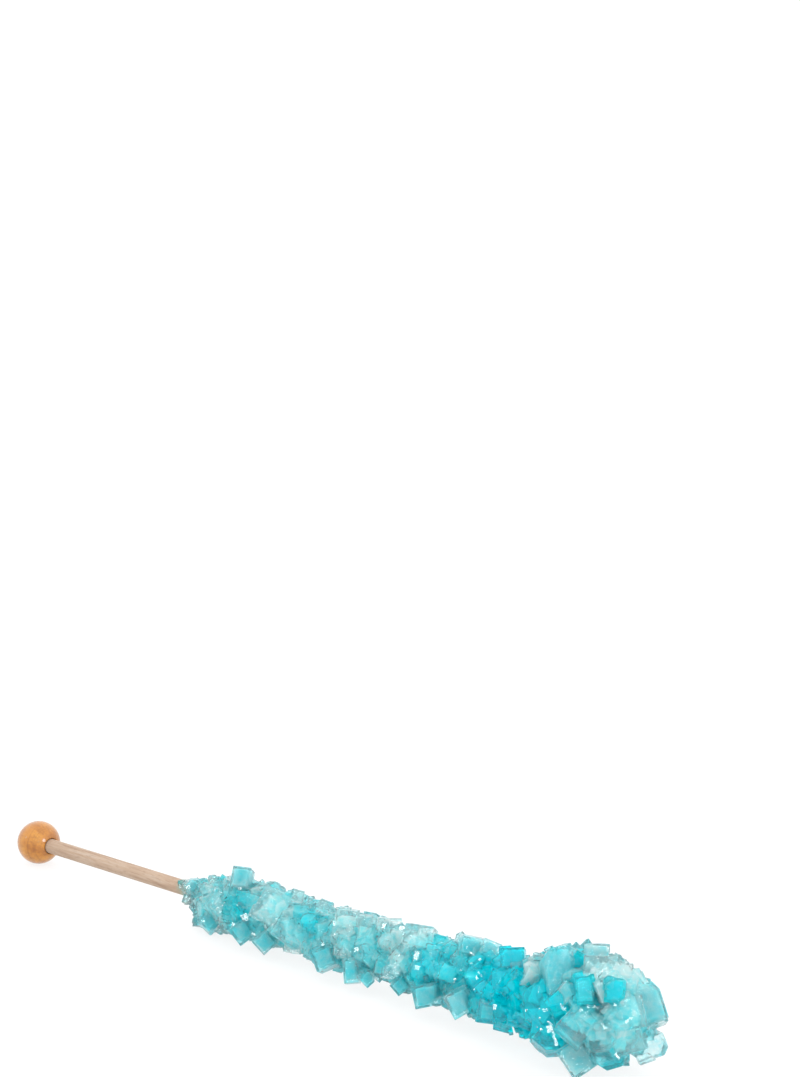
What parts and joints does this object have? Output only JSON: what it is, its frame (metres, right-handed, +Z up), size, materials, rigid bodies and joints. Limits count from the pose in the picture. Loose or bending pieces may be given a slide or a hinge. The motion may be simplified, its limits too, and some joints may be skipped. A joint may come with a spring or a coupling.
{
  "type": "rock candy stick",
  "caption": "Slim stick of sky blue sugar crystals grown round a thin wooden dowel, with a crystal knob at one end and a small wooden ball to hold it by at the other.",
  "frame": {"origin": "on the surface the stick lies on, at the middle of its footprint", "axes": "+X along the stick from the ball to the crystal knob, +Z up, +Y to the left of +X; the side shown best is the -Y side"},
  "size_m": [0.1872, 0.026, 0.0231],
  "materials": {
    "varnished_wood": "turned bead under clear varnish, glossy",
    "raw_wood": "plain birch dowel, fine grain, matt",
    "sugar_crystal": "glassy translucent sugar crystal, tinted sky blue"
  },
  "bodies": {
    "root": {"ball": "varnished_wood", "dowel": "raw_wood", "candy": "sugar_crystal"}
  },
  "joints": []
}
